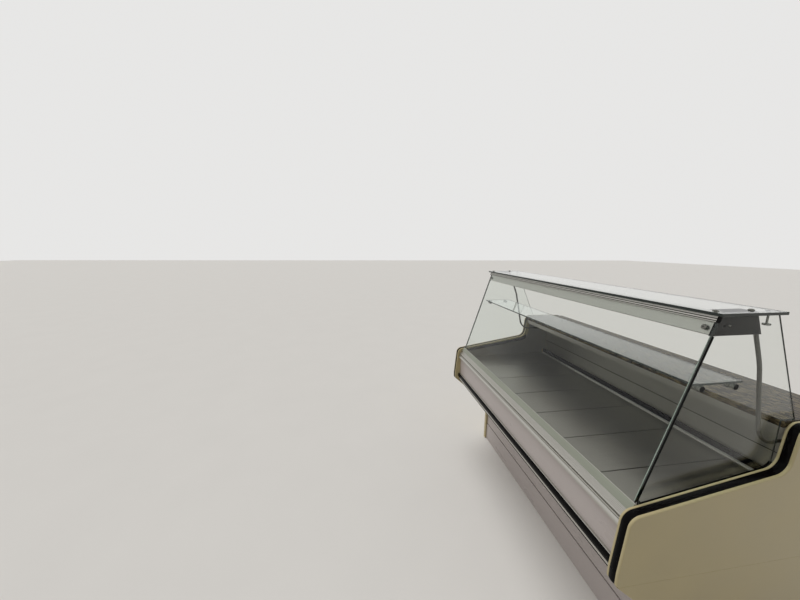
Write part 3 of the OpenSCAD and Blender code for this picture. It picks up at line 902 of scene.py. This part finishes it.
class COUNTER_OT_front(bpy.types.Operator):
    """Make the front panel, and the bumper of aluminium rail, rubber strip and lower bead"""

    bl_idname = "counter.front"
    bl_label = "Front panel and bumper"

    def execute(self, context):
        soften("front_panel", "front_panel_sheet", "coated_sheet", sizes().sheet_edge)
        low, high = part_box("bumper_rail")
        y0, y1, z0, z1 = low.y / MM, high.y / MM, low.z / MM, high.z / MM
        x = high.x / MM
        bm = bmesh.new()
        rail = [
            (y1, z0 + 9), (y0 + 2.5, z0 + 9), (y0 + 0.6, z0 + 9.6), (y0, z0 + 11.5), (y0, z0 + 18), (y0 + 0.6, z0 + 20),
            (y0 + 2.6, z0 + 20.6), (y0 + 3, z0 + 21), (y0 + 3, z0 + 49), (y0 + 2.4, z0 + 49.4), (y0 + 0.6, z0 + 49.8),
            (y0, z0 + 50.6), (y0 + 0.8, z1 - 0.4), (y0 + 2.6, z1), (y1, z1),
        ]
        prism(bm, rail, -x, x)
        make_piece(bm, "bumper_rail_extrusion", "anodised_aluminium", ["bumper_rail"])
        bm = bmesh.new()
        strip = [(y0 + 3, z0 + 21.3)]
        for k in range(13):
            a = math.pi * k / 12
            strip.append((y0 + 0.4 - 6.2 * math.sin(a) ** 0.55, z0 + 35 - 13.6 * math.cos(a)))
        strip += [(y0 + 3, z0 + 48.7)]
        prism(bm, strip, -x, x)
        bead = [(y1, z0), (y0 + 5.5, z0)]
        for k in range(7):
            a = math.pi * k / 6
            bead.append((y0 + 5 - 2.2 * math.sin(a), z0 + 4.3 - 4.1 * math.cos(a)))
        bead += [(y0 + 5.5, z0 + 8.7), (y1, z0 + 8.7)]
        prism(bm, bead, -x, x)
        make_piece(bm, "bumper_rubber", "black_pvc", ["bumper_strip"])
        return {"FINISHED"}


class COUNTER_OT_glass_profile(bpy.types.Operator):
    """Make the stepped and ribbed extrusion that holds the foot of the front glass"""

    bl_idname = "counter.glass_profile"
    bl_label = "Glass profile"

    def execute(self, context):
        low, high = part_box("glass_profile")
        x = high.x / MM
        y0, z0 = low.y / MM, low.z / MM
        ribs, depth = sizes().rib_count, sizes().rib_depth / MM
        points = [
            (60, 0), (2.6, 0), (0.8, 0.8), (0, 2.6), (0, 8.0), (1.2, 10.8), (4.2, 14.2), (6.6, 16.0), (9.0, 16.0),
            (9.0, 20.4), (5.4, 20.4), (4.0, 21.4), (4.0, 23.2), (5.0, 24.2), (10.6, 24.8), (10.6, 29.0), (7.4, 29.4),
            (6.8, 30.4), (7.2, 31.6),
        ]
        start, end = Vector((8.0, 32.6)), Vector((21.0, 49.6))
        step = (end - start) / ribs
        inward = Vector((step.y, -step.x)).normalized()
        for k in range(ribs):
            base = start + step * k
            for share, cut in ((0.0, 0.0), (0.45, -0.3), (0.68, 0.0), (0.76, 1.0), (0.94, 1.0)):
                points.append(tuple(base + step * share + inward * depth * cut))
        points += [
            (21.0, 49.6), (22.4, 50.2), (38.4, 71.2), (39.2, 72.0), (40.2, 71.4), (33.5, 50.4), (40.2, 50.4),
            (42.6, 57.4), (44.0, 58.6), (58.4, 54.0), (60.0, 52.6),
        ]
        bm = bmesh.new()
        prism(bm, [(y0 + u, z0 + v) for u, v in points], -x, x)
        make_piece(bm, "glass_profile_extrusion", "anodised_aluminium", ["glass_profile"])
        bm = bmesh.new()
        strip = [(22.8, 49.8), (22.3, 50.7), (22.6, 51.5), (37.2, 70.6), (38.0, 70.8), (38.5, 70.2)]
        prism(bm, [(y0 + u, z0 + v) for u, v in strip], -x, x)
        make_piece(bm, "glazing_strip", "grey_gasket")
        return {"FINISHED"}


class COUNTER_OT_panes(bpy.types.Operator):
    """Make the glass panes, with ground edges that show dark green"""

    bl_idname = "counter.panes"
    bl_label = "Glass panes"

    def execute(self, context):
        tilt = Vector((0, -math.cos(GLASS_TILT), math.sin(GLASS_TILT)))
        panes = {
            "front_glass": tilt,
            "end_glass_left": Vector((1, 0, 0)),
            "end_glass_right": Vector((1, 0, 0)),
            "top_glass": Vector((0, 0, 1)),
            "shelf_glass": Vector((0, 0, 1)),
        }
        for node, pane in panes.items():
            soften(
                node,
                f"{node}_pane",
                "float_glass",
                sizes().glass_edge,
                1,
                edge_material="ground_glass_edge",
                pane=pane,
                slot="top_glass" if node == "top_glass" else "clear_glass",
            )
        for side, sign in SIDES:
            soften(f"glass_seat_{side}", f"glass_seat_channel_{side}", "black_pvc", 0.5 * MM, 1)
            bm = bmesh.new()
            joint = [(6.0, 8.0), (6.0, GLASS_RUN - 52.0), (6.9, GLASS_RUN - 52.0), (6.9, 8.0)]
            lean_prism(bm, joint, sign * 653.6, sign * 658.2)
            make_piece(bm, f"glass_joint_{side}", "clear_silicone")
            bm = bmesh.new()
            seal = [(6.1, 8.0), (6.1, GLASS_RUN - 52.0), (10.6, GLASS_RUN - 52.0), (10.6, 8.0)]
            lean_prism(bm, seal, sign * 658.9, sign * 659.9)
            make_piece(bm, f"corner_seal_{side}", "black_pvc")
        return {"FINISHED"}


class COUNTER_OT_canopy(bpy.types.Operator):
    """Make the canopy's beam with its end caps, its brackets and its tubes"""

    bl_idname = "counter.canopy"
    bl_label = "Canopy"

    def execute(self, context):
        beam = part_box("canopy_beam")[1].x / MM
        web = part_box("canopy_bracket_right")[1].x / MM - 3.0
        run = GLASS_RUN
        bm = bmesh.new()
        cap = [(-0.5, run - 15.0), (-4.6, run - 15.0), (-5.0, run - 14.4)]
        for low in GROOVES:
            cap += [(-5.0, run - low), (-2.6, run - low + 0.1), (-2.6, run - low + 2.3), (-5.0, run - low + 2.4)]
        cap += [(-5.0, run + 1.9), (-4.6, run + 2.5), (6.2, run + 5.8), (6.2, run + 0.5), (-0.5, run + 0.5)]
        lean_prism(bm, cap, -beam, beam)
        body = [
            (6.5, run - 49.4), (7.1, run - 50.0), (21.9, run - 50.0), (22.5, run - 49.4), (22.5, run + 10.9),
            (6.5, run + 5.9),
        ]
        lean_prism(bm, body, -web, web)
        make_piece(bm, "canopy_beam_extrusion", "anodised_aluminium", ["canopy_beam"])
        # Black strips in the two grooves of the beam's cap: painted shade that darkens the grooves.
        bm = bmesh.new()
        for low in GROOVES:
            low = run - low
            lean_prism(bm, [(-2.7, low + 0.2), (-4.6, low + 0.2), (-4.6, low + 2.2), (-2.7, low + 2.2)], -beam, beam)
        make_piece(bm, "canopy_beam_groove_shade", "black_pvc")
        for side, sign in SIDES:
            soften(f"canopy_bracket_{side}", f"bracket_sheet_{side}", "powder_coat", 0.7 * MM)
            low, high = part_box(f"canopy_post_{side}")
            x = (low.x + high.x) / 2 / MM
            radius = (high.x - low.x) / 2
            path = rounded(
                [
                    (low.y / MM + 4.6, high.z / MM, 0.0),
                    (16.0, 1105.0, 320.0),
                    (66.0 + 6.0, 854.0 + 6.0, 68.0),
                    (high.y / MM, low.z / MM + radius / MM, 0.0),
                ]
            )
            bm = bmesh.new()
            rings = []
            for i, at in enumerate(path):
                ahead = (path[min(i + 1, len(path) - 1)] - path[max(i - 1, 0)]).normalized()
                out = Vector((-ahead.y, ahead.x))
                ring = []
                for k in range(20):
                    a = math.tau * k / 20
                    p = at + out * math.sin(a) * radius / MM
                    ring.append(Vector((x + math.cos(a) * radius / MM, p.x, p.y)) * MM)
                rings.append(ring)
            loft(bm, rings)
            make_piece(bm, f"tube_{side}", "grey_enamel", [f"canopy_post_{side}"])
            bm = bmesh.new()
            cap = [(-5.6, -15.6), (-5.6, 1.9), (-4.8, 2.2), (6.0, 5.5), (6.0, -15.6)]
            lean_prism(bm, [(a, run + u) for a, u in cap], sign * 659.2, sign * 661.8)
            bevel(bm, bm.edges[:], 0.6 * MM, 2)
            make_piece(bm, f"beam_end_cap_{side}", "black_moulding")
        return {"FINISHED"}


# Lower edges of the two grooves in the beam's cap, darkened with strips of painted shade, in mm under the top of the
# glass.
GROOVES = (12.9, 6.9)

BOLT = [
    (0, 1.2), (2.0, 1.2), (2.0, 3.7), (2.5, 4.0), (4.2, 3.7), (5.8, 2.8), (6.7, 1.5), (7.0, 0.5), (6.9, 0.0), (3.0, 0.0),
    (3.0, -11.0), (0, -11.0),
]


class COUNTER_OT_bolts(bpy.types.Operator):
    """Make the button-head bolts of the canopy and the clamps under the top glass"""

    bl_idname = "counter.bolts"
    bl_label = "Bolts and clamps"

    def execute(self, context):
        for side, sign in SIDES:
            low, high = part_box(f"canopy_bolts_{side}")
            outer = max(abs(low.x), abs(high.x)) / MM
            inner = min(abs(low.x), abs(high.x)) / MM
            bm = bmesh.new()
            upright = Matrix(((1, 0, 0), (0, 0, -1), (0, 1, 0))).to_4x4()
            lean = Matrix.Rotation(-GLASS_TILT, 4, "X") @ upright
            beam = Matrix.Translation(on_glass(sign * (inner + 7.0), 0, GLASS_RUN - 33.0)) @ lean
            front = GLASS_FOOT[0] + (TOP_UNDER - GLASS_FOOT[1]) * math.tan(GLASS_TILT) + 5.0
            places = [beam]
            for y in (front, high.y / MM - 7.0):
                places.append(Matrix.Translation(Vector((sign * (outer - 7.0), y, TOP_UNDER + 8.0)) * MM))
            for place in places:
                lathe(bm, BOLT, place)
                hexagon_socket(bm, 2.0, place)
            make_piece(bm, f"canopy_bolt_set_{side}", "nickel_plate", [f"canopy_bolts_{side}"])
            bm = bmesh.new()
            sideways = Matrix.Rotation(sign * math.pi / 2, 4, "Y")
            web = Matrix.Translation(Vector((sign * 652.7, -123.1, 1222.3)) * MM) @ sideways
            lathe(bm, [(0, 2.2), (1.8, 2.0), (3.2, 1.2), (3.8, 0.0), (0, 0.0)], web)
            make_piece(bm, f"bracket_screw_{side}", "nickel_plate")
            bm = bmesh.new()
            plug = Matrix.Translation(Vector((sign * 652.7, -139.5, 1221.4)) * MM) @ sideways
            lathe(bm, [(0, 0.3), (2.4, 0.3), (3.4, 0.7), (3.8, 0.0), (0, 0.0)], plug)
            make_piece(bm, f"bracket_plug_{side}", "black_moulding")
            low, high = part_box(f"corner_clamp_{side}")
            centre = (low + high) / 2
            bm = bmesh.new()
            place = Matrix.Translation(Vector((centre.x, centre.y, high.z)))
            foot = (high.z - low.z) / MM
            r = (high.x - low.x) / 2 / MM
            rod = [
                (0, 0), (5.6, 0), (6.0, -0.5), (5.6, -1.6), (3.2, -2.4), (2.5, -3.4), (2.5, 6.6 - foot),
                (3.4, 6.0 - foot), (r - 1.6, 6.0 - foot), (r - 0.4, 5.2 - foot), (r, 4.0 - foot), (r, 1.6 - foot),
                (r - 1.0, 0.3 - foot), (r - 2.2, -foot), (0, -foot),
            ]
            lathe(bm, rod[::-1], place)
            make_piece(bm, f"corner_clamp_turned_{side}", "nickel_plate", [f"corner_clamp_{side}"])
        return {"FINISHED"}


class COUNTER_OT_shelf_clamps(bpy.types.Operator):
    """Make the turned clamps that carry the glass shelf"""

    bl_idname = "counter.shelf_clamps"
    bl_label = "Shelf clamps"

    def execute(self, context):
        profile = [
            (0, 0), (8.4, 0), (9.0, 0.6), (9.0, 5.0), (8.4, 5.8), (6.4, 6.4), (5.6, 7.6), (5.6, 10.4), (6.4, 11.6),
            (8.6, 12.4), (9.0, 13.4), (9.0, 21.0), (8.2, 23.6), (5.8, 25.4), (2.4, 26.0), (0, 26.0),
        ]
        shelf_low, shelf_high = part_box("shelf_glass")
        for side, sign in SIDES:
            low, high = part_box(f"shelf_clamps_{side}")
            bm = bmesh.new()
            turn = Matrix.Rotation(-sign * math.pi / 2, 4, "Y")
            for share in (0.16, 0.84):
                y = shelf_low.y + share * (shelf_high.y - shelf_low.y)
                z = (low.z + high.z) / 2
                lathe(bm, profile, Matrix.Translation(Vector((sign * 0.653, y, z))) @ turn)
            make_piece(bm, f"shelf_clamp_set_{side}", "nickel_plate", [f"shelf_clamps_{side}"])
        return {"FINISHED"}


def lining(bm, sign, y_front, y_back, floor):
    """A sheet on the inner face of an end panel, under the glass seat, between two y and above a floor, in mm."""
    part = bmesh.new()
    prism(part, rounded(inset(PANEL_WALK, 26.0)), sign * 663.4, sign * 664.8)
    for co, no in (((0, 0, floor), (0, 0, 1)), ((0, y_front, 0), (0, 1, 0)), ((0, y_back, 0), (0, -1, 0))):
        bmesh.ops.bisect_plane(
            part, geom=part.verts[:] + part.edges[:] + part.faces[:], dist=1e-6, plane_co=Vector(co) * MM,
            plane_no=no, clear_inner=True,
        )
        bmesh.ops.holes_fill(part, edges=[e for e in part.edges if e.is_boundary], sides=0)
    mesh = bpy.data.meshes.new("lining_part")
    part.to_mesh(mesh)
    part.free()
    bm.from_mesh(mesh)
    bpy.data.meshes.remove(mesh)


class COUNTER_OT_deck(bpy.types.Operator):
    """Make the pans, the well, the rear wall and the air duct"""

    bl_idname = "counter.deck"
    bl_label = "Deck"

    def execute(self, context):
        for i in range(1, 8):
            bm = merged_copy(f"display_pan_{i}")
            low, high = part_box(f"display_pan_{i}")
            for v in bm.verts:
                if v.co.x - low.x < MM:
                    v.co.x += sizes().pan_joint / 2
                elif high.x - v.co.x < MM:
                    v.co.x -= sizes().pan_joint / 2
            bevel(bm, sharp_edges(bm), sizes().pan_edge, 3)
            make_piece(bm, f"pan_{i}", "brushed_steel", [f"display_pan_{i}"])
        soften("cold_well", "well_lining", "brushed_steel", 0.0)
        soften("back_wall", "back_wall_sheet", "brushed_steel", 0.6 * MM)
        bm = bmesh.new()
        block(bm, (-663.0, 281.2, 756.0), (663.0, 282.2, 758.2))
        bevel(bm, bm.edges[:], 0.3 * MM, 1)
        make_piece(bm, "back_wall_seam", "black_moulding")
        low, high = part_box("duct_profile")
        y0, y1, z0, z1 = low.y / MM, high.y / MM, low.z / MM, high.z / MM
        bm = bmesh.new()
        strip = [
            (y0, z0), (y0, z1 - 2.0), (y0 + 0.8, z1 - 0.6), (y0 + 2.2, z1), (y0 + 3.8, z1), (y0 + 4.4, z1 - 1.0),
            (y0 + 4.4, z1 - 3.2), (y0 + 7.4, z1 - 3.2), (y0 + 7.4, z1 - 1.0), (y0 + 8.0, z1), (y1 - 1.2, z1),
            (y1 - 0.3, z1 - 0.4), (y1, z1 - 1.4), (y1, z0),
        ]
        prism(bm, strip, low.x / MM, high.x / MM)
        make_piece(bm, "duct_edge_strip", "anodised_aluminium", ["duct_profile"])
        pan_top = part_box("display_pan_1")[1].z / MM
        slot_low, slot_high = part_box("air_duct_grille")
        for side, sign in SIDES:
            bm = bmesh.new()
            for y_front, y_back, floor in (
                (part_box("glass_profile")[1].y / MM + 0.5, y0 - 0.3, pan_top + 0.3),
                (y0 - 0.3, slot_high.y / MM - 0.3, slot_high.z / MM + 0.3),
            ):
                lining(bm, sign, y_front, y_back, floor)
            make_piece(bm, f"side_lining_{side}", "brushed_steel")
        # Black blocks under the widened gaps between the pans: painted shade that darkens the joints.
        bm = bmesh.new()
        for i in range(1, 7):
            x = (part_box(f"display_pan_{i}")[1].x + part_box(f"display_pan_{i + 1}")[0].x) / 2 / MM
            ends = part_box(f"display_pan_{i}")
            block(
                bm,
                (x - 1.6, ends[0].y / MM + 1.0, pan_top - 11.0),
                (x + 1.6, ends[1].y / MM - 1.0, pan_top - 7.0),
            )
        bevel(bm, bm.edges[:], 0.3 * MM, 1)
        make_piece(bm, "pan_joint_painted_shade", "black_moulding")
        soften("air_duct_grille", "air_slot_grille", "black_moulding", 0.0)
        # A black block filling the slot behind the grille: painted shade for the dark inside of the air duct.
        bm = bmesh.new()
        block(
            bm, (-664.0, slot_low.y / MM + 2.5, slot_low.z / MM + 1.0),
            (664.0, slot_high.y / MM - 0.2, slot_high.z / MM - 0.2),
        )
        bevel(bm, bm.edges[:], 0.4 * MM, 1)
        make_piece(bm, "air_slot_painted_shade", "black_moulding")
        return {"FINISHED"}


class COUNTER_OT_worktop(bpy.types.Operator):
    """Make the stone worktop and its carrier"""

    bl_idname = "counter.worktop"
    bl_label = "Worktop"

    def execute(self, context):
        soften("worktop", "worktop_slab", "polished_granite", sizes().stone_edge, 3)
        soften("worktop_rail", "worktop_carrier", "brushed_steel", 0.6 * MM)
        return {"FINISHED"}


class COUNTER_OT_lower_body(bpy.types.Operator):
    """Make the lower sides, the kick plate, the lower front panel and the floor tray"""

    bl_idname = "counter.lower_body"
    bl_label = "Lower body"

    def execute(self, context):
        for side, sign in SIDES:
            soften(f"side_base_{side}", f"lower_side_{side}", "moulded_abs", 2.0 * MM, 3)
        soften("kick_plate", "kick_plate_sheet", "coated_sheet", sizes().sheet_edge)
        soften("lower_front_panel", "lower_front_sheet", "coated_sheet", sizes().sheet_edge)
        soften("base_tray", "floor_tray", "brushed_steel", 0.8 * MM)
        return {"FINISHED"}


class COUNTER_OT_rear(bpy.types.Operator):
    """Make the rear panels with their louvre hoods, and the control box with its dial and switch"""

    bl_idname = "counter.rear"
    bl_label = "Rear"

    def execute(self, context):
        soften("rear_panel", "rear_panel_sheet", "coated_sheet", sizes().sheet_edge)
        soften("rear_grille", "louvred_sheet", "coated_sheet", 0.0)
        low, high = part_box("rear_grille")
        y = high.y / MM
        out = sizes().hood_depth / MM
        bm = bmesh.new()
        for sign in (-1, 1):
            for row in range(LOUVRE_ROWS):
                z = 40 + 46 + 26 * row
                arc = []
                for k in range(6):
                    a = math.radians(90 * k / 5)
                    arc.append((y - 0.6 + out * math.sin(a), z + 8.6 - 9.5 * (1 - math.cos(a))))
                inner = [(py - 1.1 if py > y else py, pz - 1.0) for py, pz in arc]
                prism(bm, arc + inner[::-1], sign * 250 - 151, sign * 250 + 151)
        make_piece(bm, "louvre_hoods", "coated_sheet")
        low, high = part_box("control_box")
        bm = bmesh.new()
        z0, z1 = low.z / MM, high.z / MM
        y0 = low.y / MM
        block(bm, (180, y0, z0), (420, y0 + 22, z1))
        bevel(bm, bm.edges[:], 3.0 * MM, 3)
        make_piece(bm, "control_box_moulding", "black_moulding", ["control_box"])
        zc = (z0 + z1) / 2
        bm = bmesh.new()
        place = Matrix.Translation(Vector((245, y0 + 22, zc)) * MM) @ Matrix.Rotation(-math.pi / 2, 4, "X")
        lathe(
            bm,
            [(0, 12), (13.4, 12), (14.6, 11.2), (15.4, 4.0), (16.8, 2.4), (17, 0.4), (17, 0), (0, 0)],
            place,
            steps=36,
        )
        make_piece(bm, "control_dial", "anodised_aluminium")
        bm = bmesh.new()
        block(bm, (344, y0 + 21, zc - 15), (366, y0 + 24, zc + 15))
        bevel(bm, bm.edges[:], 1.0 * MM, 2)
        face, verts = prism(
            bm,
            [(y0 + 23, zc - 12), (y0 + 27, zc - 12), (y0 + 25, zc), (y0 + 25.6, zc + 12), (y0 + 23, zc + 12)],
            347,
            363,
        )
        make_piece(bm, "rocker_switch", "black_pvc")
        return {"FINISHED"}


LOUVRE_ROWS = 10


class COUNTER_OT_stage(bpy.types.Operator):
    """Set the camera at the photograph's viewing angle, the pale floor and background, and the studio lamps"""

    bl_idname = "counter.stage"
    bl_label = "Stage"

    def execute(self, context):
        scene = context.scene
        scene.view_settings.view_transform = "Standard"
        bm = bmesh.new()
        bmesh.ops.create_grid(bm, x_segments=2, y_segments=2, size=30.0)
        mesh = bpy.data.meshes.new("studio_floor")
        bm.to_mesh(mesh)
        bm.free()
        floor = bpy.data.objects.new("studio_floor", mesh)
        scene.collection.objects.link(floor)
        mesh.materials.append(finish("studio_floor"))
        world = bpy.data.worlds.new("studio")
        scene.world = world
        world.use_nodes = True
        tree = world.node_tree
        tree.nodes.clear()
        path = add_node(tree, "ShaderNodeLightPath", {}, {})
        seen = add_node(
            tree,
            "ShaderNodeMath",
            {"operation": "MAXIMUM"},
            {0: path.outputs["Is Camera Ray"], 1: path.outputs["Is Glossy Ray"]},
        )
        seen = add_node(
            tree, "ShaderNodeMath", {"operation": "MAXIMUM"}, {0: seen.outputs[0], 1: path.outputs["Is Transmission Ray"]}
        )
        strength = add_node(
            tree, "ShaderNodeMapRange", {}, {"Value": seen.outputs[0], "To Min": 0.3, "To Max": 0.8}
        )
        light = add_node(
            tree, "ShaderNodeBackground", {}, {"Color": (1.0, 0.995, 0.985, 1.0), "Strength": strength.outputs["Result"]}
        )
        output = add_node(tree, "ShaderNodeOutputWorld", {}, {})
        tree.links.new(light.outputs["Background"], output.inputs["Surface"])
        sun = bpy.data.lights.new("diffused_sky", "SUN")
        sun.energy = 1.9
        sun.angle = math.radians(50)
        holder = bpy.data.objects.new("diffused_sky", sun)
        holder.visible_glossy = False
        holder.visible_transmission = False
        scene.collection.objects.link(holder)
        holder.rotation_euler = Vector((0.35, 0.35, -1.0)).to_track_quat("-Z", "Y").to_euler()
        camera = bpy.data.cameras.new("camera")
        camera.sensor_fit = "HORIZONTAL"
        camera.sensor_width = 36.0
        camera.lens = 13.671
        camera.clip_start = 0.02
        camera.clip_end = 120.0
        yaw, pitch, roll = math.radians(8.54), math.radians(10.0), math.radians(-0.42)
        ahead = Vector((-math.cos(yaw) * math.cos(pitch), math.sin(yaw) * math.cos(pitch), -math.sin(pitch)))
        right = Vector((math.sin(yaw), math.cos(yaw), 0.0))
        down = ahead.cross(right)
        right, down = (
            right * math.cos(roll) + down * math.sin(roll),
            down * math.cos(roll) - right * math.sin(roll),
        )
        eye = bpy.data.objects.new("camera", camera)
        scene.collection.objects.link(eye)
        turned = Matrix((right, -down, -ahead)).transposed().to_4x4()
        eye.matrix_world = Matrix.Translation((1.2875, -1.088, 1.42)) @ turned
        scene.camera = eye
        return {"FINISHED"}


class COUNTER_PT_panel(bpy.types.Panel):
    """Lists the counter's pieces, sizes and colours"""

    bl_idname = "COUNTER_PT_panel"
    bl_label = "Display counter"
    bl_space_type = "VIEW_3D"
    bl_region_type = "UI"
    bl_category = "Counter"

    def draw(self, context):
        for operator in OPERATORS:
            self.layout.operator(operator.bl_idname)
        for group in (context.scene.counter_sizes, context.scene.counter_colours):
            box = self.layout.box()
            for name in group.bl_rna.properties.keys():
                if name not in ("rna_type", "name"):
                    box.prop(group, name)


OPERATORS = (
    COUNTER_OT_end_panels,
    COUNTER_OT_edge_trims,
    COUNTER_OT_front,
    COUNTER_OT_glass_profile,
    COUNTER_OT_panes,
    COUNTER_OT_canopy,
    COUNTER_OT_bolts,
    COUNTER_OT_shelf_clamps,
    COUNTER_OT_deck,
    COUNTER_OT_worktop,
    COUNTER_OT_lower_body,
    COUNTER_OT_rear,
    COUNTER_OT_stage,
)
CLASSES = (CounterSizes, CounterColours) + OPERATORS + (COUNTER_PT_panel,)


def register():
    for cls in CLASSES:
        bpy.utils.register_class(cls)
    bpy.types.Scene.counter_sizes = PointerProperty(type=CounterSizes)
    bpy.types.Scene.counter_colours = PointerProperty(type=CounterColours)


def unregister():
    del bpy.types.Scene.counter_colours
    del bpy.types.Scene.counter_sizes
    for cls in reversed(CLASSES):
        bpy.utils.unregister_class(cls)


def main():
    register()
    for operator in OPERATORS:
        group, name = operator.bl_idname.split(".")
        if getattr(getattr(bpy.ops, group), name)() != {"FINISHED"}:
            raise RuntimeError(f"{operator.bl_label} did not finish")


if __name__ == "__main__":
    main()
